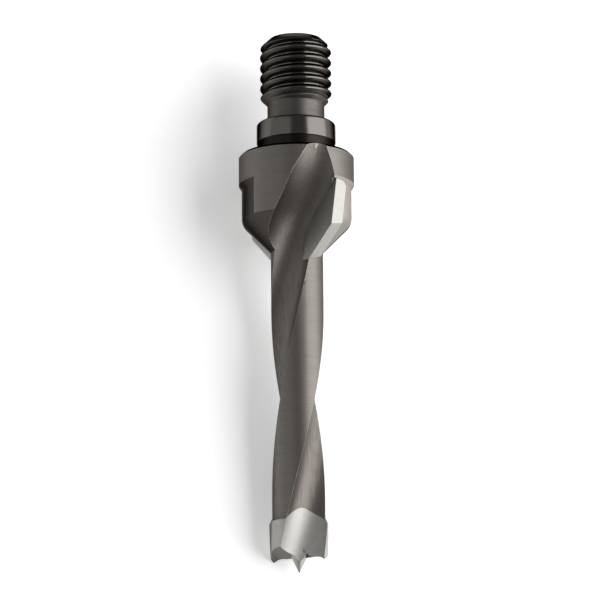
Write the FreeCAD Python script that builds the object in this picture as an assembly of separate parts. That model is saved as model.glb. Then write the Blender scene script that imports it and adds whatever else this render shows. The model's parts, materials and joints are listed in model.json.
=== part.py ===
"""Dowel drill bit with a threaded shank and an integral countersink.

Four pieces: a steel body, a solid carbide head brazed to its end, and two
carbide plates brazed into the countersink's wings. Each is modelled along the
tool axis, with the shoulder face at height 0, the threaded shank above it and
the cutting point below. At the end the whole tool is laid down as it rests.
Lengths are in millimetres and angles in degrees.
"""
import FreeCAD, Part
import math
import os

Vector = FreeCAD.Vector
Z_AXIS = Vector(0, 0, 1)
ORIGIN = Vector(0, 0, 0)

# Threaded shank, from the shoulder upwards
pilot_diameter = 11.0
pilot_length = 4.6
pilot_groove_length = 2.1
pilot_groove_depth = 0.3
pilot_chamfer = 0.3
neck_diameter = 7.8
neck_length = 2.7
stud_diameter = 10.0
stud_length = 9.5
stud_chamfer = 1.25

# Countersink, seen as a stepped cylinder with two wings
ring_diameter = 16.0
ring_edge_chamfer = 0.4
ring_height = 4.25
countersink_angle = 90.0
steel_cone_setback = 1.6
wing_corner_round = 2.0
relief_depth = 0.4
relief_slope_length = 0.6
relief_sweep = 95.0
relief_lead_in = 8.0

# Carbide plates in the wings
plate_corner_inset = 0.15
plate_corner_height = 47.0
plate_thickness = 2.0
plate_inner_reach = 2.0
plate_top_height = 53.6
plate_top_round = 0.9
plate_rim_clearance_angle = 7.0
plate_cone_clearance_angle = 18.0
rake_direction = 39.0
rake_tilt = 8.2
rake_zero_height = 48.0
wing_gash_start_reach = 3.2
wing_gash_end_reach = 7.45
wing_gash_width = 2.0

# Fluted shaft
reach = 58.15
shaft_diameter = 7.2
flute_lead = 94.0
flute_radius = 3.7
flute_direction_at_point = -0.8
web_radius_at_point = 0.7
web_taper = 0.0205
exit_slope = 0.75
exit_blend_length = 5.0
exit_easing_length = 4.5
exit_end_slope = 0.25
exit_floor_inset = 0.28
exit_twist_start = 50.2
exit_twist_end = 53.0
exit_twist_ratio = 0.23
flute_sections = 36
flute_overrun = 2.0

# Carbide head
head_diameter = 8.0
head_length = 6.68
head_shoulder_length = 0.77
seam_height = 7.05
head_relief_depth = 0.3
margin_angle = 15.0
land_relief_sweep = 90.0
land_sections = 5
land_overrun = 1.5
seat_cone_slope = 0.6
seat_flat_radius = 0.5
spur_recess = 1.5
lip_recess = 1.95
spur_root_radius = 2.5
spur_hollow = 0.11
lip_direction = 54.0
lip_clearance_angle = 20.0
point_angle = 50.0
gash_inner_reach = 0.8
gash_depth = 0.34
gash_height = 0.8

# Laying the tool down: how far beside the first two contacts the third one is,
# and how closely the steel's edges are followed to find it
resting_side_reach = 1.0
edge_sampling = 0.02


def height(above_point):
    """Height on the tool axis of a place measured from the cutting point."""
    return above_point - reach


def around(direction, radius, level):
    """Point at a direction from the front of the tool, a radius and a height."""
    angle = math.radians(direction)
    return Vector(radius * math.sin(angle), -radius * math.cos(angle), level)


def turned(points):
    """Solid of revolution about the tool axis from (radius, height) points."""
    profile = [Vector(radius, 0, level) for radius, level in points]
    face = Part.Face(Part.makePolygon(profile + profile[:1]))
    return face.revolve(ORIGIN, Z_AXIS, 360)


def half_turn(shape):
    """The same shape on the other side of the axis."""
    copy = shape.copy()
    copy.rotate(ORIGIN, Z_AXIS, 180)
    return copy


def flute_direction(above_point):
    """Direction that the flute's middle faces, which straightens at its exit."""
    rate = 360.0 / flute_lead
    start = flute_direction_at_point - 180
    if above_point <= exit_twist_start:
        return start + rate * above_point
    blend = exit_twist_end - exit_twist_start
    inside = min(above_point, exit_twist_end) - exit_twist_start
    slowing = inside - (1 - exit_twist_ratio) * inside ** 2 / (2 * blend)
    beyond = max(above_point - exit_twist_end, 0)
    return start + rate * (exit_twist_start + slowing + exit_twist_ratio * beyond)


def exit_ramp(above_point):
    """Radius of the ramp that ends a flute, which eases off at the shoulder."""
    below = reach - above_point
    eased = min(max(below, 0), exit_easing_length)
    steepening = (exit_slope - exit_end_slope) * eased ** 2 / (2 * exit_easing_length)
    beyond = max(below - exit_easing_length, 0)
    slow = exit_end_slope * min(below, exit_easing_length)
    end_floor = ring_diameter / 2 - exit_floor_inset
    return end_floor - slow - steepening - exit_slope * beyond


def flute_floor(above_point):
    """Radius of the flute's floor: a tapered web, then a ramp out of the steel."""
    web = web_radius_at_point + web_taper * above_point
    ramp = exit_ramp(above_point)
    gap = ramp - web
    slope_change = exit_slope - web_taper
    half = exit_blend_length / 2
    distance = gap / slope_change
    if distance <= -half:
        return web
    if distance >= half:
        return ramp
    return web + slope_change * (distance + half) ** 2 / (4 * half)


def flute_section(above_point):
    """U-shaped section of the flute: a round floor and parallel walls."""
    centre = flute_floor(above_point) + flute_radius
    outside = centre + ring_diameter / 2
    floor = Part.Arc(
        Vector(centre, -flute_radius, 0),
        Vector(centre - flute_radius, 0, 0),
        Vector(centre, flute_radius, 0),
    )
    corners = [
        Vector(centre, flute_radius, 0),
        Vector(outside, flute_radius, 0),
        Vector(outside, -flute_radius, 0),
        Vector(centre, -flute_radius, 0),
    ]
    walls = [Part.LineSegment(a, b).toShape() for a, b in zip(corners, corners[1:])]
    wire = Part.Wire([floor.toShape()] + walls)
    wire.rotate(ORIGIN, Z_AXIS, flute_direction(above_point) - 90)
    wire.translate(Vector(0, 0, height(above_point)))
    return wire


def make_flute():
    """Solid that grinds one flute, lofted through turned sections."""
    spacing = (reach + 2 * flute_overrun) / (flute_sections - 1)
    levels = [step * spacing - flute_overrun for step in range(flute_sections)]
    return Part.makeLoft([flute_section(level) for level in levels], True, False)


def plate_corner_radius():
    """Radius of a plate's corner, just inside the ring."""
    return ring_diameter / 2 - plate_corner_inset


def cone_line(setback):
    """Radius and height, above the point, where a cone leaves the shaft."""
    slope = 1 / math.tan(math.radians(countersink_angle / 2))
    base = plate_corner_height + setback - plate_corner_radius() * slope
    return base, slope


def seam_radius():
    """Radius at which the brazed seam shows, on the slope up to the head."""
    rise = (head_diameter - shaft_diameter) / 2 / head_shoulder_length
    return head_diameter / 2 - rise * (seam_height - head_length)


def seat_top():
    """Height above the point of the blunt top of the cone that seats the head."""
    return seam_height + seat_cone_slope * (seam_radius() - seat_flat_radius)


def body_blank():
    """Turned steel body, from the head's seat up to the end of the stud."""
    base, slope = cone_line(steel_cone_setback)
    shaft = shaft_diameter / 2
    ring = ring_diameter / 2
    pilot = pilot_diameter / 2
    groove = pilot - pilot_groove_depth
    neck = neck_diameter / 2
    stud = stud_diameter / 2
    stud_start = pilot_length + neck_length
    stud_end = stud_start + stud_length
    return turned([
        (0, height(seat_top())),
        (seat_flat_radius, height(seat_top())),
        (seam_radius(), height(seam_height)),
        (shaft, height(head_length + head_shoulder_length)),
        (shaft, height(base + slope * shaft)),
        (ring, height(base + slope * ring)),
        (ring, -ring_edge_chamfer),
        (ring - ring_edge_chamfer, 0),
        (groove, 0),
        (groove, pilot_groove_length),
        (pilot, pilot_groove_length),
        (pilot, pilot_length - pilot_chamfer),
        (pilot - pilot_chamfer, pilot_length),
        (neck, pilot_length),
        (neck, stud_start),
        (stud - stud_chamfer, stud_start),
        (stud, stud_start + stud_chamfer),
        (stud, stud_end - stud_chamfer),
        (stud - stud_chamfer, stud_end),
        (0, stud_end),
    ])


def sector(start, sweep, radius, low, high):
    """Wedge of a turn about the axis, from one direction through a sweep."""
    points = [Vector(0, 0, low), around(start, radius, low),
              around(start, radius, high), Vector(0, 0, high)]
    face = Part.Face(Part.makePolygon(points + points[:1]))
    return face.revolve(ORIGIN, Z_AXIS, sweep)


def wing_relief():
    """What is milled off a wing behind its plate, up to the ring."""
    base, slope = cone_line(steel_cone_setback)
    half_angle = math.radians(countersink_angle / 2)
    outer = ring_diameter
    inner = ring_diameter / 2 - relief_depth
    high = -ring_height
    tangent = wing_corner_round * math.tan(half_angle / 2)
    corner = Vector(inner, 0, height(base + slope * inner))
    end = corner + Z_AXIS * tangent
    centre = end - Vector(wing_corner_round, 0, 0)
    outward = Vector(math.cos(half_angle / 2), 0, -math.sin(half_angle / 2))
    below = Vector(math.sin(half_angle), 0, math.cos(half_angle))
    start = corner - below * tangent
    low = start.z - outer
    points = [
        end,
        Vector(inner, 0, high - relief_slope_length),
        Vector(inner + relief_depth, 0, high),
        Vector(outer, 0, high),
        Vector(outer, 0, low),
        start - below * wing_corner_round,
        start,
    ]
    edges = [Part.LineSegment(a, b).toShape() for a, b in zip(points, points[1:])]
    edges.append(Part.Arc(start, centre + outward * wing_corner_round, end).toShape())
    collar = Part.Face(Part.Wire(edges)).revolve(ORIGIN, Z_AXIS, 360)
    first = rake_direction - relief_lead_in
    wedge = sector(first, relief_lead_in + relief_sweep, 2 * outer, low, high)
    return collar.common(wedge)


def place_on_rake(shape):
    """Move a shape from the rake plane's frame to the wing that carries it."""
    shape.rotate(ORIGIN, Vector(1, 0, 0), -rake_tilt)
    shape.translate(Vector(0, 0, height(rake_zero_height)))
    shape.rotate(ORIGIN, Z_AXIS, rake_direction - 90)
    return shape


def wing_gash():
    """What is ground off ahead of a plate, so that its face stands free."""
    low = plate_corner_height - plate_corner_radius() - rake_zero_height
    high = plate_top_height - rake_zero_height
    outer = ring_diameter
    points = [
        Vector(wing_gash_start_reach, -wing_gash_width, low),
        Vector(outer, -wing_gash_width, low),
        Vector(outer, -wing_gash_width, high),
        Vector(wing_gash_end_reach, -wing_gash_width, high),
    ]
    face = Part.Face(Part.makePolygon(points + points[:1]))
    return place_on_rake(face.extrude(Vector(0, wing_gash_width, 0)))


def cone_clearance(behind):
    """How much higher a plate's cone edge lies at a distance behind the front."""
    inside = behind * math.tan(math.radians(plate_cone_clearance_angle))
    return inside / math.sin(math.radians(countersink_angle / 2))


def plate_seat():
    """Slot in a wing that a plate is brazed into, open outwards and below."""
    base, slope = cone_line(0)
    low = base + slope * shaft_diameter / 2 - rake_zero_height
    high = plate_top_height - rake_zero_height
    points = [
        Vector(plate_inner_reach, 0, low),
        Vector(plate_inner_reach, plate_thickness, low + cone_clearance(plate_thickness)),
        Vector(plate_inner_reach, plate_thickness, high - plate_top_round),
        Vector(plate_inner_reach, plate_thickness - plate_top_round, high),
        Vector(plate_inner_reach, 0, high),
    ]
    turn = plate_top_round * (1 - math.sqrt(0.5))
    middle = Vector(plate_inner_reach, plate_thickness - turn, high - turn)
    edges = [
        Part.LineSegment(points[0], points[1]).toShape(),
        Part.LineSegment(points[1], points[2]).toShape(),
        Part.Arc(points[2], middle, points[3]).toShape(),
        Part.LineSegment(points[3], points[4]).toShape(),
        Part.LineSegment(points[4], points[0]).toShape(),
    ]
    face = Part.Face(Part.Wire(edges))
    return place_on_rake(face.extrude(Vector(ring_diameter, 0, 0)))


def plate_outline(behind):
    """Outline of a plate at a distance behind its cutting edges."""
    base, slope = cone_line(cone_clearance(behind))
    shaft = shaft_diameter / 2
    corner = plate_corner_radius() - behind * math.tan(math.radians(plate_rim_clearance_angle))
    low = base + slope * shaft - rake_zero_height
    high = plate_top_height - rake_zero_height
    points = [
        Vector(plate_inner_reach, behind, low),
        Vector(shaft, behind, low),
        Vector(corner, behind, base + slope * corner - rake_zero_height),
        Vector(corner, behind, high),
        Vector(plate_inner_reach, behind, high),
    ]
    return Part.makePolygon(points + points[:1])


def make_plate():
    """Carbide plate: two cutting edges, with clearance faces behind them."""
    outlines = [plate_outline(0), plate_outline(plate_thickness)]
    form = place_on_rake(Part.makeLoft(outlines, True, True))
    return form.common(plate_seat())


def make_body(flutes):
    """Steel body: turned, fluted, with the wings milled and the seats cut."""
    body = body_blank().cut(flutes)
    cuts = []
    for shape in (wing_relief(), wing_gash(), plate_seat()):
        cuts += [shape, half_turn(shape)]
    return body.cut(cuts)


def head_blank():
    """Turned carbide head with the cone that centres it in the body."""
    head = head_diameter / 2
    return turned([
        (0, height(0)),
        (head, height(0)),
        (head, height(head_length)),
        (seam_radius(), height(seam_height)),
        (seat_flat_radius, height(seat_top())),
        (0, height(seat_top())),
    ])


def leading_angle(radius, above_point):
    """Angle from the flute's middle to the leading edge of the land."""
    centre = flute_floor(above_point) + flute_radius
    cosine = (radius ** 2 + centre ** 2 - flute_radius ** 2) / (2 * radius * centre)
    return math.degrees(math.acos(cosine))


def land_relief():
    """What is ground off a land behind its margin, along the flute's helix."""
    inner = head_diameter / 2 - head_relief_depth
    outer = head_diameter
    spacing = (head_length + head_shoulder_length + 2 * land_overrun) / (land_sections - 1)
    sections = []
    for level in [step * spacing - land_overrun for step in range(land_sections)]:
        start = flute_direction(level) + leading_angle(inner, max(level, 0)) + margin_angle
        end = start + land_relief_sweep
        middle = (start + end) / 2
        low = height(level)
        edges = [
            Part.Arc(around(start, inner, low), around(middle, inner, low),
                     around(end, inner, low)).toShape(),
            Part.LineSegment(around(end, inner, low), around(end, outer, low)).toShape(),
            Part.Arc(around(end, outer, low), around(middle, outer, low),
                     around(start, outer, low)).toShape(),
            Part.LineSegment(around(start, outer, low), around(start, inner, low)).toShape(),
        ]
        sections.append(Part.Wire(edges))
    return Part.makeLoft(sections, True, False)


def place_on_lip(shape):
    """Move a shape from a lip's frame, outward and behind, to the head."""
    shape.translate(Vector(0, 0, height(0)))
    shape.rotate(ORIGIN, Z_AXIS, lip_direction - 90)
    return shape


def end_grind():
    """What is ground off one half of the head's end, leaving lip and spur."""
    radius = head_diameter / 2
    wide = head_diameter
    hollow = Vector((spur_root_radius + radius) / 2, 0,
                    (lip_recess + spur_recess) / 2 + spur_hollow)
    corners = [Vector(-wide, 0, lip_recess), Vector(spur_root_radius, 0, lip_recess),
               Vector(radius, 0, spur_recess), Vector(wide, 0, -wide),
               Vector(-wide, 0, -wide)]
    edges = [
        Part.LineSegment(corners[0], corners[1]).toShape(),
        Part.Arc(corners[1], hollow, corners[2]).toShape(),
        Part.LineSegment(corners[2], corners[3]).toShape(),
        Part.LineSegment(corners[3], corners[4]).toShape(),
        Part.LineSegment(corners[4], corners[0]).toShape(),
    ]
    rise = math.tan(math.radians(lip_clearance_angle))
    face = Part.Face(Part.Wire(edges))
    face.translate(Vector(0, -radius, -radius * rise))
    ground = place_on_lip(face.extrude(Vector(0, 3 * radius, 3 * radius * rise)))
    half = Part.makeBox(2 * wide, wide, 2 * wide, Vector(-wide, 0, height(0) - wide))
    middle_direction = flute_direction(lip_recess) + 180
    half.rotate(ORIGIN, Z_AXIS, middle_direction - 90)
    return ground.common(half)


def lip_gash():
    """Facet ground ahead of a lip, from beside the centre point to the spur."""
    radius = head_diameter / 2
    slope = gash_depth / gash_height
    fade = lip_recess + gash_height
    top = fade + gash_height
    points = [
        Vector(gash_inner_reach, slope * fade, 0),
        Vector(gash_inner_reach, slope * (fade - top), top),
        Vector(gash_inner_reach, -radius, top),
        Vector(gash_inner_reach, -radius, 0),
    ]
    face = Part.Face(Part.makePolygon(points + points[:1]))
    return place_on_lip(face.extrude(Vector(radius, 0, 0)))


def make_head(flutes):
    """Carbide head: two lips, two scoring spurs and a centre point."""
    fluted = head_blank().cut(flutes)
    cuts = []
    for shape in (land_relief(), end_grind(), lip_gash()):
        cuts += [shape, half_turn(shape)]
    head = fluted.cut(cuts)
    root = lip_recess + gash_height
    spread = root * math.tan(math.radians(point_angle / 2))
    point = turned([(0, height(0)), (spread, height(root)), (0, height(root))])
    return head.fuse(point.cut(flutes)).removeSplitter()


def build():
    """The four pieces, along the tool axis."""
    flute = make_flute()
    flutes = [flute, half_turn(flute)]
    plate = make_plate()
    return {
        "steel_body": make_body(flutes),
        "carbide_head": make_head(flutes),
        "carbide_plate_right": plate,
        "carbide_plate_left": half_turn(plate),
    }


def radius_of(point):
    """Distance of a point from the tool axis."""
    return math.hypot(point.x, point.y)


def resting_spur(head):
    """Tip of the scoring spur that touches the bench, at the back of the tool."""
    relieved = (head_diameter - head_relief_depth) / 2
    tips = [v.Point for v in head.Vertexes if radius_of(v.Point) > relieved and v.Y > 0]
    return min(tips, key=lambda tip: tip.z)


def resting_corner():
    """Corner of the plate that touches the bench, at the back of the tool."""
    corner = Vector(plate_corner_radius(), 0, plate_corner_height - rake_zero_height)
    return half_turn(place_on_rake(Part.Vertex(corner))).Point


def bench_normal(pieces):
    """Upward normal of the bench, which touches a spur, a plate and a wing's edge."""
    spur = resting_spur(pieces["carbide_head"])
    corner = resting_corner()
    line = corner - spur
    down = Vector(0, 1, 0)
    level = down.cross(line).normalize()
    below = line.cross(level).normalize()
    candidates = []
    for edge in pieces["steel_body"].Edges:
        candidates += edge.discretize(Deflection=edge_sampling)
    beside = [p - spur for p in candidates if (p - spur).dot(level) > resting_side_reach]
    touch = max(beside, key=lambda p: math.atan2(p.dot(below), p.dot(level)))
    normal = line.cross(touch).normalize()
    return normal if normal.dot(down) < 0 else -normal


def lay_down(pieces):
    """Turn the tool about its shoulder's centre until it lies on the bench."""
    up = bench_normal(pieces)
    along = (Z_AXIS - up * Z_AXIS.dot(up)).normalize()
    across = along.cross(up)
    turn = FreeCAD.Matrix(
        across.x, across.y, across.z, 0,
        along.x, along.y, along.z, 0,
        up.x, up.y, up.z, 0,
        0, 0, 0, 1,
    )
    return {name: shape.transformed(turn) for name, shape in pieces.items()}


os.makedirs("parts", exist_ok=True)
for name, shape in lay_down(build()).items():
    print(name, shape.isValid(), len(shape.Solids), round(shape.Volume, 2))
    shape.exportStep("parts/" + name + ".step")
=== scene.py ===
import bpy
import bmesh
import json
import math
from mathutils import Matrix, Vector


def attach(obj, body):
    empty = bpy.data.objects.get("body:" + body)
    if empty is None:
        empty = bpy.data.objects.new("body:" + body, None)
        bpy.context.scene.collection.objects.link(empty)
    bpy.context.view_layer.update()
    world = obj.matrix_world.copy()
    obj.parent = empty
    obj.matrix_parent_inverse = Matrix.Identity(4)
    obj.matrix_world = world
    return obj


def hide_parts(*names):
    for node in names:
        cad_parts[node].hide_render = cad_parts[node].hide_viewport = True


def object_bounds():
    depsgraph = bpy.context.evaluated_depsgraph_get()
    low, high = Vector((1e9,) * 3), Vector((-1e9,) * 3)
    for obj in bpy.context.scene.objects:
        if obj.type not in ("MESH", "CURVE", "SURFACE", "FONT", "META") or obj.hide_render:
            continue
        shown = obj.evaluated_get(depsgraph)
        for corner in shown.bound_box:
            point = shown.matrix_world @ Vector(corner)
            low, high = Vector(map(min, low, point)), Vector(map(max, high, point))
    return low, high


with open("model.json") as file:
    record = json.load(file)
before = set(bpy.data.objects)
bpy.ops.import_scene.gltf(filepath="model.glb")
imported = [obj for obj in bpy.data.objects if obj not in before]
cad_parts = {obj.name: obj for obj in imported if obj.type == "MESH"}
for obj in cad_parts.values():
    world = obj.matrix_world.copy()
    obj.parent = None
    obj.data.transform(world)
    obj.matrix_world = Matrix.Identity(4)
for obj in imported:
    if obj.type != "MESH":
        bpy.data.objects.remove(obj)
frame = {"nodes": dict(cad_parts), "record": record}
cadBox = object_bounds()
mm = 0.001


# The tool's own directions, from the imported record: it lies on the floor, point a little down.
tool = {
    "faceRollDeg": 11.25,    # how far the photographed face is rolled from straight up
}
pilotMount = next(m for m in frame["record"]["mounts"] if m["name"] == "pilot")
along = Vector(pilotMount["axis"]).normalized()
upright = (Vector((0, 0, 1)) - along * along.z).normalized()
front = Matrix.Rotation(math.radians(-tool["faceRollDeg"]), 3, along) @ upright
right = along.cross(front)


def spokeAt(directionDeg):
    # the way out from the axis, turned from the front towards the right
    angle = math.radians(directionDeg)
    return front * math.cos(angle) + right * math.sin(angle)


def onTool(directionDeg, radiusMm, heightMm):
    # a point by direction, radius and height above the shoulder
    return (spokeAt(directionDeg) * radiusMm + along * heightMm) * mm


def placeOf(face):
    # a face's height above the shoulder and its radius, in millimetres, and its way out from the axis
    middle = face.calc_center_median()
    height = middle.dot(along)
    spoke = middle - along * height
    return height / mm, spoke.length / mm, spoke.normalized()


def linear(hexCode):
    # sRGB hex to the linear colour that the shaders take, by the standard curve
    parts = [int(hexCode[i:i + 2], 16) / 255 for i in (1, 3, 5)]
    return tuple(c / 12.92 if c <= 0.04045 else ((c + 0.055) / 1.055) ** 2.4 for c in parts) + (1,)


def addNode(tree, kind, settings=(), links=()):
    # settings go to inputs by name or number, or to the node itself; links are (input, node, output)
    node = tree.nodes.new(kind)
    for key, value in dict(settings).items():
        if isinstance(key, int) or key in node.inputs:
            node.inputs[key].default_value = value
        else:
            setattr(node, key, value)
    for key, source, output in links:
        tree.links.new(source.outputs[output], node.inputs[key])
    return node


# Sockets of a Mix node that mixes colours, by number, as their names aren't unique.
mixShare = 0
mixFirst = 6
mixSecond = 7
mixResult = 2


def newMaterial(name):
    material = bpy.data.materials.new(name)
    material.use_nodes = True
    material.node_tree.nodes.clear()
    return material, material.node_tree


def toolCoordinates(tree):
    # object coordinates in millimetres, turned so that Z runs along the tool
    place = addNode(tree, "ShaderNodeTexCoord")
    turn = Matrix((right, -front, along)).to_euler()
    return addNode(tree, "ShaderNodeMapping", {"Rotation": turn, "Scale": (1 / mm,) * 3},
                   [("Vector", place, "Object")])


# In each finish the colour goes to the shade, and the roughness from its first value to its second,
# over a pattern. A stretch is the pattern's scale across, across and along the tool.

# Hardened tool steel of the lands and the ring: ground round, a dull dark grey with soft highlights.
groundSteel = {
    "colour": "#726e6a",
    "shade": "#6a6662",
    "edgeTint": "#9a9a9a",
    "roughness": (0.44, 0.5),
    "mottleMm": 2.5,
    "mottleDetail": 4.0,
    "mottleShare": 0.5,      # how much the mottle counts beside the streaks
    "mixedFrom": 0.5,        # the sum of both at which the shade begins
    "mixedTo": 1.0,
    "streakMm": 0.16,        # grit marks, drawn coarser than real so that they show
    "streakDetail": 2.0,
    "streakStretch": (0.05, 0.05, 1),
    "grainMm": 0.12,         # the pits between them, drawn coarser too
    "grainDetail": 1.0,
    "grainDepthMm": 0.003,
    "grainStrength": 0.25,
}

# The flutes, of the same steel: ground lengthwise with a coarse wheel, so duller and more even.
fluteSteel = {
    **groundSteel,
    "colour": "#726d69",
    "shade": "#64605c",
    "edgeTint": "#808080",
    "roughness": (0.44, 0.56),
    "mottleMm": 1.8,
    "streakMm": 0.22,
    "streakStretch": (1, 1, 0.04),
    "grainMm": 0.14,
    "grainDepthMm": 0.006,
}

# The neck and the thread's run-out: turned, with a thin brown-grey film from hardening, so darker.
neckSteel = {
    **groundSteel,
    "colour": "#5d5a57",
    "shade": "#55524f",
    "edgeTint": "#8a8a8a",
    "roughness": (0.41, 0.49),
}

# The steel just behind each plate, ground flush with it after brazing: bare, and lighter still with a
# painted highlight, so the brightest steel.
flushHighlightSteel = {
    **groundSteel,
    "colour": "#a5a19b",
    "shade": "#96928c",
    "edgeTint": "#b0b0b0",
    "roughness": (0.52, 0.6),
    "mottleMm": 2.0,
    "streakStretch": (1, 1, 0.05),
}


def makeSatinSteel(name, finish):
    material, tree = newMaterial(name)
    place = toolCoordinates(tree)
    mottle = addNode(tree, "ShaderNodeTexNoise",
                     {"Scale": 1 / finish["mottleMm"], "Detail": finish["mottleDetail"]},
                     [("Vector", place, "Vector")])
    stretched = addNode(tree, "ShaderNodeMapping", {"Scale": finish["streakStretch"]},
                        [("Vector", place, "Vector")])
    streaks = addNode(tree, "ShaderNodeTexNoise",
                      {"Scale": 1 / finish["streakMm"], "Detail": finish["streakDetail"]},
                      [("Vector", stretched, "Vector")])
    mixed = addNode(tree, "ShaderNodeMath", {"operation": "MULTIPLY_ADD", 1: finish["mottleShare"]},
                    [(0, mottle, "Fac"), (2, streaks, "Fac")])
    share = addNode(tree, "ShaderNodeMapRange",
                    {"From Min": finish["mixedFrom"], "From Max": finish["mixedTo"]},
                    [("Value", mixed, 0)])
    colour = addNode(tree, "ShaderNodeMix",
                     {"data_type": "RGBA", mixFirst: linear(finish["colour"]),
                      mixSecond: linear(finish["shade"])},
                     [(mixShare, share, "Result")])
    smoothest, roughest = finish["roughness"]
    rough = addNode(tree, "ShaderNodeMapRange", {"To Min": smoothest, "To Max": roughest},
                    [("Value", streaks, "Fac")])
    grain = addNode(tree, "ShaderNodeTexNoise",
                    {"Scale": 1 / finish["grainMm"], "Detail": finish["grainDetail"]},
                    [("Vector", place, "Vector")])
    bump = addNode(tree, "ShaderNodeBump",
                   {"Strength": finish["grainStrength"], "Distance": finish["grainDepthMm"] * mm},
                   [("Height", grain, "Fac")])
    shader = addNode(tree, "ShaderNodeBsdfPrincipled",
                     {"Metallic": 1.0, "Specular Tint": linear(finish["edgeTint"])},
                     [("Base Color", colour, mixResult), ("Roughness", rough, "Result"),
                      ("Normal", bump, "Normal")])
    addNode(tree, "ShaderNodeOutputMaterial", {}, [("Surface", shader, "BSDF")])
    return material


# Turned and blackened steel of the collar: nearly black, smoother, with fine rings from the lathe.
blackSteel = {
    "colour": "#5e5b58",
    "edgeTint": "#6a6a6a",
    "roughness": (0.11, 0.27),
    "markMm": 0.10,          # lathe feed
    "markDetail": 2.0,
    "markStretch": (0.02, 0.02, 1),
    "markDepthMm": 0.003,
    "markStrength": 0.3,
}

# The thread's flanks, rolled and blackened: darker than the collar with painted shade between the crests.
threadShadeSteel = {
    **blackSteel,
    "colour": "#474542",
    "edgeTint": "#505050",
    "roughness": (0.18, 0.34),
    "markDepthMm": 0.002,
}

# Milled steel of the wing pockets and the cones behind the plates: smoother than the lands, and darker
# with painted shade.
milledShadeSteel = {
    **blackSteel,
    "colour": "#403d3b",
    "edgeTint": "#a0a0a0",
    "roughness": (0.19, 0.32),
    "markMm": 0.15,          # cutter feed
    "markStretch": (0.05, 0.05, 1),
}


def makeCutSteel(name, finish):
    # a plain colour with the marks of the tool that cut or rolled it
    material, tree = newMaterial(name)
    place = toolCoordinates(tree)
    stretched = addNode(tree, "ShaderNodeMapping", {"Scale": finish["markStretch"]},
                        [("Vector", place, "Vector")])
    marks = addNode(tree, "ShaderNodeTexNoise",
                    {"Scale": 1 / finish["markMm"], "Detail": finish["markDetail"]},
                    [("Vector", stretched, "Vector")])
    smoothest, roughest = finish["roughness"]
    rough = addNode(tree, "ShaderNodeMapRange", {"To Min": smoothest, "To Max": roughest},
                    [("Value", marks, "Fac")])
    bump = addNode(tree, "ShaderNodeBump",
                   {"Strength": finish["markStrength"], "Distance": finish["markDepthMm"] * mm},
                   [("Height", marks, "Fac")])
    shader = addNode(tree, "ShaderNodeBsdfPrincipled",
                     {"Metallic": 1.0, "Specular Tint": linear(finish["edgeTint"]),
                      "Base Color": linear(finish["colour"])},
                     [("Roughness", rough, "Result"), ("Normal", bump, "Normal")])
    addNode(tree, "ShaderNodeOutputMaterial", {}, [("Surface", shader, "BSDF")])
    return material


# Painted shade in the groove at the collar's foot and on the shoulder's chamfer: nearly black, with a
# faint sheen.
footShadeSteel = {
    "colour": "#2a2826",
    "shade": "#1f1d1c",
    "edgeTint": "#3a3a3a",
    "roughness": (0.25, 0.38),
    "mottleMm": 0.8,
    "mottleDetail": 3.0,
}

# Honed edge of the flutes and lands: bare steel where the stone broke the corner, painted lighter still as
# a highlight so that the thin edge shows light.
honedHighlightSteel = {
    "colour": "#c9c5bf",
    "shade": "#a8a49e",
    "edgeTint": "#ffffff",
    "roughness": (0.35, 0.5),
    "mottleMm": 0.5,         # small nicks
    "mottleDetail": 2.0,
}


def makeMottledSteel(name, finish):
    material, tree = newMaterial(name)
    place = toolCoordinates(tree)
    mottle = addNode(tree, "ShaderNodeTexNoise",
                     {"Scale": 1 / finish["mottleMm"], "Detail": finish["mottleDetail"]},
                     [("Vector", place, "Vector")])
    colour = addNode(tree, "ShaderNodeMix",
                     {"data_type": "RGBA", mixFirst: linear(finish["colour"]),
                      mixSecond: linear(finish["shade"])},
                     [(mixShare, mottle, "Fac")])
    smoothest, roughest = finish["roughness"]
    rough = addNode(tree, "ShaderNodeMapRange", {"To Min": smoothest, "To Max": roughest},
                    [("Value", mottle, "Fac")])
    shader = addNode(tree, "ShaderNodeBsdfPrincipled",
                     {"Metallic": 1.0, "Specular Tint": linear(finish["edgeTint"])},
                     [("Base Color", colour, mixResult), ("Roughness", rough, "Result")])
    addNode(tree, "ShaderNodeOutputMaterial", {}, [("Surface", shader, "BSDF")])
    return material


# Tungsten carbide, diamond ground: pale warm grey, dull, with fine straight grinding lines.
carbide = {
    "colour": "#b1b0ac",
    "shade": "#a4a39f",
    "roughness": (0.52, 0.66),
    "mottleMm": 0.8333,
    "mottleDetail": 3.0,
    "lineMm": 0.08,          # grinding lines, drawn coarser than real so that they show
    "lineDetail": 1.0,
    "lineStretch": (1, 1, 0.05),
    "lineDepthMm": 0.003,
    "lineStrength": 0.3,
}

# The gashes and lips at the head's end, ground smoother and given painted shade: a darker grey than the
# outside.
endShadeCarbide = {
    **carbide,
    "colour": "#5f5c57",
    "shade": "#524f4b",
    "roughness": (0.26, 0.4),
}


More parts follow.
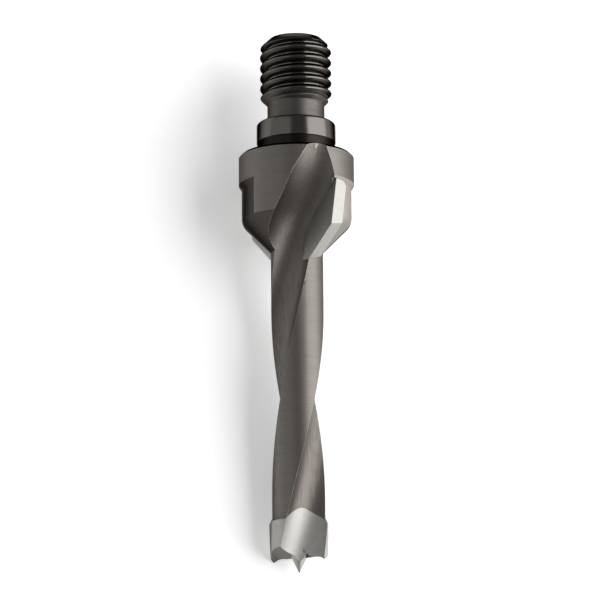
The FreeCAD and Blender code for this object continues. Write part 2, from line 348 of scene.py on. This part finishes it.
def makeCarbide(name, finish):
    material, tree = newMaterial(name)
    place = toolCoordinates(tree)
    mottle = addNode(tree, "ShaderNodeTexNoise",
                     {"Scale": 1 / finish["mottleMm"], "Detail": finish["mottleDetail"]},
                     [("Vector", place, "Vector")])
    colour = addNode(tree, "ShaderNodeMix",
                     {"data_type": "RGBA", mixFirst: linear(finish["colour"]),
                      mixSecond: linear(finish["shade"])},
                     [(mixShare, mottle, "Fac")])
    stretched = addNode(tree, "ShaderNodeMapping", {"Scale": finish["lineStretch"]},
                        [("Vector", place, "Vector")])
    lines = addNode(tree, "ShaderNodeTexNoise",
                    {"Scale": 1 / finish["lineMm"], "Detail": finish["lineDetail"]},
                    [("Vector", stretched, "Vector")])
    smoothest, roughest = finish["roughness"]
    rough = addNode(tree, "ShaderNodeMapRange", {"To Min": smoothest, "To Max": roughest},
                    [("Value", lines, "Fac")])
    bump = addNode(tree, "ShaderNodeBump",
                   {"Strength": finish["lineStrength"], "Distance": finish["lineDepthMm"] * mm},
                   [("Height", lines, "Fac")])
    shader = addNode(tree, "ShaderNodeBsdfPrincipled", {"Metallic": 1.0},
                     [("Base Color", colour, mixResult), ("Roughness", rough, "Result"),
                      ("Normal", bump, "Normal")])
    addNode(tree, "ShaderNodeOutputMaterial", {}, [("Surface", shader, "BSDF")])
    return material


bodyFinishes = {
    "fluted": makeSatinSteel("fluteGroundToolSteel", fluteSteel),
    "black": makeCutSteel("turnedSteelBlackened", blackSteel),
    "milledShade": makeCutSteel("milledSteelPaintedShade", milledShadeSteel),
    "footShade": makeMottledSteel("collarFootPaintedShade", footShadeSteel),
    "honedHighlight": makeMottledSteel("honedSteelPaintedHighlight", honedHighlightSteel),
    "ground": makeSatinSteel("groundToolSteel", groundSteel),
    "rolledShade": makeCutSteel("rolledSteelPaintedShade", threadShadeSteel),
    "flushHighlight": makeSatinSteel("flushSteelPaintedHighlight", flushHighlightSteel),
    "filmed": makeSatinSteel("turnedToolSteelFilmed", neckSteel),
}
carbideFinishes = {
    "ground": makeCarbide("groundTungstenCarbide", carbide),
    "endShaded": makeCarbide("carbideEndPaintedShade", endShadeCarbide),
}
print("materials made")


# Ground edges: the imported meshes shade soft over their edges, so each piece is a copy with crisp ones.
edges = {
    "sharpDeg": 24,
    "weldMm": 0.002,
    "segments": 2,           # across a honed edge
}


def copyOfNode(name):
    mesh = bmesh.new()
    mesh.from_mesh(frame["nodes"][name].data)
    bmesh.ops.remove_doubles(mesh, verts=mesh.verts, dist=edges["weldMm"] * mm)
    return mesh


def makePiece(name, mesh, finishes, bevelMm, edgeFinish=None):
    # with an edge finish only the marked edges are rounded, in that finish, and without one all sharp ones
    data = bpy.data.meshes.new(name)
    mesh.to_mesh(data)
    if "custom_normal" in data.attributes:
        data.attributes.remove(data.attributes["custom_normal"])
    for material in finishes.values():
        data.materials.append(material)
    for face in data.polygons:
        face.use_smooth = True
    data.set_sharp_from_angle(angle=math.radians(edges["sharpDeg"]))
    piece = bpy.data.objects.new(name, data)
    bpy.context.scene.collection.objects.link(piece)
    bevel = piece.modifiers.new("honedEdge", "BEVEL")
    bevel.width = bevelMm * mm
    bevel.segments = edges["segments"]
    bevel.limit_method = "WEIGHT" if edgeFinish else "ANGLE"
    bevel.angle_limit = math.radians(edges["sharpDeg"])
    bevel.material = list(finishes).index(edgeFinish) if edgeFinish else -1
    bevel.harden_normals = True
    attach(piece, "root")
    return piece


# Shank: groove, collar and neck turned from one profile, then the stud with its rolled M10 thread.
shank = {
    # radius and height of each corner, from under the shoulder to inside the stud
    "profileMm": [(0, -0.1), (5.42, -0.1), (5.42, 1.7), (5.5, 1.85), (5.5, 4.2), (5.42, 4.42), (5.22, 4.6),
                  (4.13, 4.6), (4.01, 4.64), (3.98, 4.75), (3.98, 7.35), (0, 7.35)],
    # below this height the collar's foot is nearly black with painted shade
    "footShadeEndMm": 1.8,
    "neckStartMm": 4.62,
    "neckEndMm": 8.4,        # the thread's run-out has the neck's finish
    "studStartMm": 7.3,
    "studEndMm": 16.8,
    "sunkMm": 0.1,           # how far the stud's end is sunk in the neck
    "blendMm": 0.05,         # how softly the thread runs into its end chamfers
    "majorRadiusMm": 5.0,
    "neckRadiusMm": 3.93,
    "endRadiusMm": 3.75,
    "pitchMm": 1.5,
    "depthMm": 0.85,
    "crestRound": 0.3,       # how round a crest is, as a share of the pitch
    "rootShare": 0.86,       # share of the depth at which a root is flat
    # the flanks between these radii get painted shade; roots and crests keep the collar's lighter finish
    "flankRadiusMm": (4.4, 4.96),    # between roots and crests, which are rubbed like the collar
    "pointsPerPitch": 24,
    "spareTurns": 2,         # past each end of the stud, where they gather on its end faces
    "startTurnDeg": 47,
    "around": 144,
}


def threadDepth(share):
    # depth below the crest at a share of the pitch from the crest's middle, -0.5 to 0.5
    soft, deep = shank["crestRound"], shank["depthMm"]
    depth = deep * (math.hypot(share, soft) - soft) / (math.hypot(0.5, soft) - soft)
    return min(depth, deep * shank["rootShare"])


def softLeast(values):
    # the least of the values, rounded where two of them meet
    soft = shank["blendMm"]
    least = min(values)
    return least - soft * math.log(sum(math.exp((least - value) / soft) for value in values))


def joinColumns(mesh, columns):
    for one, two in zip(columns, columns[1:]):
        for a, b, c, d in zip(one, two, two[1:], one[1:]):
            mesh.faces.new((a, b, c, d))
    bmesh.ops.remove_doubles(mesh, verts=mesh.verts, dist=edges["weldMm"] * mm)
    bmesh.ops.holes_fill(mesh, edges=[e for e in mesh.edges if e.is_boundary])
    bmesh.ops.recalc_face_normals(mesh, faces=mesh.faces)


def makeCollar():
    mesh = bmesh.new()
    steps = shank["around"]
    columns = [[mesh.verts.new(onTool(360 * i / steps, r, z)) for r, z in shank["profileMm"]]
               for i in range(steps + 1)]
    joinColumns(mesh, columns)
    return mesh


def makeThread():
    # the profile's points run up the helix; past the stud's ends they gather on its end faces
    low, high = shank["studStartMm"] - shank["sunkMm"], shank["studEndMm"]
    pitch, count, steps = shank["pitchMm"], shank["pointsPerPitch"], shank["around"]
    turns = range(-shank["spareTurns"], math.ceil((high - low) / pitch) + shank["spareTurns"])
    shares = [k / count - 0.5 for k in range(count)]
    levels = [(shank["studStartMm"] + pitch * (n + s), threadDepth(s)) for n in turns for s in shares]
    mesh = bmesh.new()
    columns = []
    for i in range(steps + 1):
        column = []
        for z, deep in levels:
            height = min(max(z + pitch * i / steps, low), high)
            topLimit = shank["endRadiusMm"] + high - height
            lowLimit = shank["neckRadiusMm"] + max(height - shank["studStartMm"], 0)
            radius = softLeast((shank["majorRadiusMm"] - deep, topLimit, lowLimit))
            column.append(mesh.verts.new(onTool(shank["startTurnDeg"] + 360 * i / steps, radius, height)))
        columns.append(column)
    joinColumns(mesh, columns)
    return mesh


def shankFinish(height, radius):
    if shank["neckStartMm"] < height < shank["neckEndMm"]:
        return "filmed"
    rootEnd, crestStart = shank["flankRadiusMm"]
    if height > shank["neckEndMm"] and rootEnd < radius < crestStart:
        return "rolledShade"
    return "black" if height > shank["footShadeEndMm"] else "footShade"


# Steel body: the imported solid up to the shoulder, with the finer shank on it.
bodySteel = {
    "slackMm": 0.01,         # how far from the shoulder a face still belongs to it
    "chamferStartMm": -0.42,
    "pocketRadiusMm": (7.5, 7.7),    # the wings' outer faces, where they are relieved
    "coneTopMm": -8.4,
    "shaftRadiusMm": 3.5,
    # between these directions the flush steel carries a painted highlight, and outside them the milled
    # steel carries painted shade
    "flushHighlightDeg": (20, 88),    # directions of the steel that was ground with a plate, and half a turn on
    "wingMm": (-20.0, -3.0),    # heights of the faces that are split where that grinding ends
    "turnedDeg": 4.0,        # how far a turned face's normal may lean out of the axial plane
    "slope": 0.1,            # how far a cone's or a chamfer's normal leans along the tool, at least
    "edgeMm": 0.09,
}


def isTurned(face):
    spoke = placeOf(face)[2]
    return abs(face.normal.dot(along.cross(spoke))) < math.sin(math.radians(bodySteel["turnedDeg"]))


def bodyFinish(face):
    # the name of a face's finish, told from its place and the way it faces
    height, radius, spoke = placeOf(face)
    if height > -bodySteel["slackMm"]:
        return shankFinish(height, radius)
    if not isTurned(face) or face.normal.dot(spoke) < 0:
        return "fluted"
    lean = face.normal.dot(along)
    # the shoulder's chamfer gets the painted shade
    if height > bodySteel["chamferStartMm"] and lean > bodySteel["slope"]:
        return "footShade"
    if radius < bodySteel["shaftRadiusMm"]:
        return "fluted"
    low, high = bodySteel["pocketRadiusMm"]
    isCone = lean < -bodySteel["slope"] and (height < bodySteel["coneTopMm"] or radius > low)
    if not isCone and not low < radius < high:
        return "ground"
    directionDeg = math.degrees(math.atan2(spoke.dot(right), spoke.dot(front)))
    highlightStart, highlightEnd = bodySteel["flushHighlightDeg"]
    # the flush steel's light colour is a painted highlight, and the milled steel's dark colour is painted
    # shade
    return "flushHighlight" if highlightStart < directionDeg % 180 < highlightEnd else "milledShade"


def markHonedEdges(mesh):
    # the flutes' edges on the lands, the ring and the cones are the ones that catch the light
    layer = mesh.edges.layers.float.new("bevel_weight_edge")
    sharp = math.radians(edges["sharpDeg"])
    for edge in mesh.edges:
        if len(edge.link_faces) == 2 and edge.calc_face_angle() > sharp:
            one, two = edge.link_faces
            if isTurned(one) != isTurned(two):
                edge[layer] = 1.0


def splitWings(mesh):
    # cuts the wings' faces where the flush grinding and its painted highlight end, so that the end is a
    # straight line
    low, high = bodySteel["wingMm"]
    wing = [f for f in mesh.faces if low < placeOf(f)[0] < high]
    parts = set(wing) | {e for f in wing for e in f.edges} | {v for f in wing for v in f.verts}
    bmesh.ops.bisect_plane(mesh, geom=list(parts), dist=edges["weldMm"] * mm, plane_co=(0, 0, 0),
                           plane_no=along.cross(spokeAt(bodySteel["flushHighlightDeg"][1])))


def makeBody():
    mesh = copyOfNode("steel_body")
    splitWings(mesh)
    gone = [f for f in mesh.faces if placeOf(f)[0] > bodySteel["slackMm"]]
    bmesh.ops.delete(mesh, geom=gone, context="FACES")
    bmesh.ops.delete(mesh, geom=[v for v in mesh.verts if not v.link_faces], context="VERTS")
    bmesh.ops.holes_fill(mesh, edges=[e for e in mesh.edges if e.is_boundary])
    mesh.normal_update()
    markHonedEdges(mesh)
    for part in (makeCollar(), makeThread()):
        data = bpy.data.meshes.new("shankPart")
        part.to_mesh(data)
        mesh.from_mesh(data)
        bpy.data.meshes.remove(data)
    mesh.normal_update()
    order = list(bodyFinishes)
    for face in mesh.faces:
        face.material_index = order.index(bodyFinish(face))
    body = makePiece("steelBody", mesh, bodyFinishes, bodySteel["edgeMm"], "honedHighlight")
    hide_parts("steel_body")


# Carbide head and plates: the imported solids, with painted shade on the gash faces that look past the
# point.
carbideParts = {
    "names": {"carbide_head": "carbideHead", "carbide_plate_left": "carbidePlateLeft",
              "carbide_plate_right": "carbidePlateRight"},
    "gashStartMm": -50.0,
    "gashLean": -0.35,       # how far a gash face's normal points towards the point
    "pointRadiusMm": 1.2,
    "edgeMm": 0.02,
}


# faces at the head's end whose normals point towards the point get the painted shade
def carbideFinish(face):
    height, radius = placeOf(face)[:2]
    atEnd = height < carbideParts["gashStartMm"] and radius > carbideParts["pointRadiusMm"]
    return "endShaded" if atEnd and face.normal.dot(along) < carbideParts["gashLean"] else "ground"


def makeCarbides():
    order = list(carbideFinishes)
    for node, name in carbideParts["names"].items():
        mesh = copyOfNode(node)
        mesh.normal_update()
        for face in mesh.faces:
            face.material_index = order.index(carbideFinish(face))
        piece = makePiece(name, mesh, carbideFinishes, carbideParts["edgeMm"])
        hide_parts(node)


makeBody()
makeCarbides()
print("pieces made")


# Floor and room: pale and plain. The floor's white is in its material, and the tool's shadow stays.
stage = {
    "floorColour": "#ffffff",
    "floorLift": 0.3,        # glow that the camera and reflections see, and that lights nothing
    "floorHalfM": 20.0,
    "roomColour": "#ffffff",
    "roomLevel": 0.2,
}


def makeFloor():
    low = cadBox[0].z
    half = stage["floorHalfM"]
    data = bpy.data.meshes.new("floor")
    corners = [(-half, -half, low), (half, -half, low), (half, half, low), (-half, half, low)]
    data.from_pydata(corners, [], [(0, 1, 2, 3)])
    floor = bpy.data.objects.new("floor", data)
    bpy.context.scene.collection.objects.link(floor)
    material, tree = newMaterial("paleFloor")
    paint = addNode(tree, "ShaderNodeBsdfDiffuse", {"Color": linear(stage["floorColour"])})
    glow = addNode(tree, "ShaderNodeEmission", {"Strength": stage["floorLift"]})
    both = addNode(tree, "ShaderNodeAddShader", {}, [(0, paint, "BSDF"), (1, glow, "Emission")])
    path = addNode(tree, "ShaderNodeLightPath")
    seen = addNode(tree, "ShaderNodeMath", {"operation": "MAXIMUM"},
                   [(0, path, "Is Camera Ray"), (1, path, "Is Glossy Ray")])
    orThrough = addNode(tree, "ShaderNodeMath", {"operation": "MAXIMUM"},
                        [(0, seen, 0), (1, path, "Is Transmission Ray")])
    pick = addNode(tree, "ShaderNodeMixShader", {},
                   [(0, orThrough, 0), (1, paint, "BSDF"), (2, both, "Shader")])
    addNode(tree, "ShaderNodeOutputMaterial", {}, [("Surface", pick, "Shader")])
    data.materials.append(material)


def makeRoom():
    world = bpy.data.worlds.new("studio")
    bpy.context.scene.world = world
    world.use_nodes = True
    tree = world.node_tree
    tree.nodes.clear()
    room = addNode(tree, "ShaderNodeBackground",
                   {"Color": linear(stage["roomColour"]), "Strength": stage["roomLevel"]})
    addNode(tree, "ShaderNodeOutputWorld", {}, [("Surface", room, "Background")])


# Two softboxes along the tool. The gap between them gives the collar its dark middle.
softboxes = {
    "softboxRight": {"directionDeg": 67, "liftDeg": 4, "distanceM": 0.5,
                     "widthM": 0.62, "lengthM": 0.8, "level": 3.2},
    "softboxLeft": {"directionDeg": -52, "liftDeg": 4, "distanceM": 0.5,
                    "widthM": 0.7, "lengthM": 0.8, "level": 0.5},
}


def addSoftbox(name, box):
    # an area lamp that faces the tool; its level is its brightness, where 1 is white
    lift = math.radians(box["liftDeg"])
    away = spokeAt(box["directionDeg"]) * math.cos(lift) + along * math.sin(lift)
    side = along.cross(away).normalized()
    up = away.cross(side)
    lamp = bpy.data.lights.new(name, "AREA")
    lamp.shape = "RECTANGLE"
    lamp.size = box["widthM"]
    lamp.size_y = box["lengthM"]
    lamp.energy = box["level"] * box["widthM"] * box["lengthM"] * math.pi
    middle = (cadBox[0] + cadBox[1]) / 2
    place = bpy.data.objects.new(name, lamp)
    bpy.context.scene.collection.objects.link(place)
    turned = Matrix((side, up, away)).transposed().to_4x4()
    place.matrix_world = Matrix.Translation(middle + away * box["distanceM"]) @ turned


makeFloor()
makeRoom()
for name, box in softboxes.items():
    addSoftbox(name, box)
print("stage and lights made")


# Camera: far and long, below the shoulder's level on the tool's axis, as in the photo.
view = {
    "sensorMm": 36,
    "lensMm": 176.96,
    "clipStartM": 0.01,
    "frontMm": 395.7,
    "belowShoulderMm": 108.5,
    "pitchDeg": 12.55,
    "yawDeg": -0.054,
    "rollDeg": -0.425,
}


def makeCamera():
    data = bpy.data.cameras.new("camera")
    data.sensor_width = view["sensorMm"]
    data.lens = view["lensMm"]
    data.clip_start = view["clipStartM"]
    camera = bpy.data.objects.new("camera", data)
    bpy.context.scene.collection.objects.link(camera)
    yaw = Matrix.Rotation(math.radians(view["yawDeg"]), 3, along)
    ahead = yaw @ -front
    side = yaw @ right
    pitch = math.radians(view["pitchDeg"])
    look = ahead * math.cos(pitch) + along * math.sin(pitch)
    up = side.cross(look)
    roll = Matrix.Rotation(math.radians(-view["rollDeg"]), 3, look)
    turn = Matrix((roll @ side, roll @ up, -look)).transposed()
    place = (front * view["frontMm"] - along * view["belowShoulderMm"]) * mm
    camera.matrix_world = Matrix.Translation(place) @ turn.to_4x4()
    bpy.context.scene.camera = camera


makeCamera()
bpy.context.scene.view_settings.view_transform = "Standard"
print("camera placed")
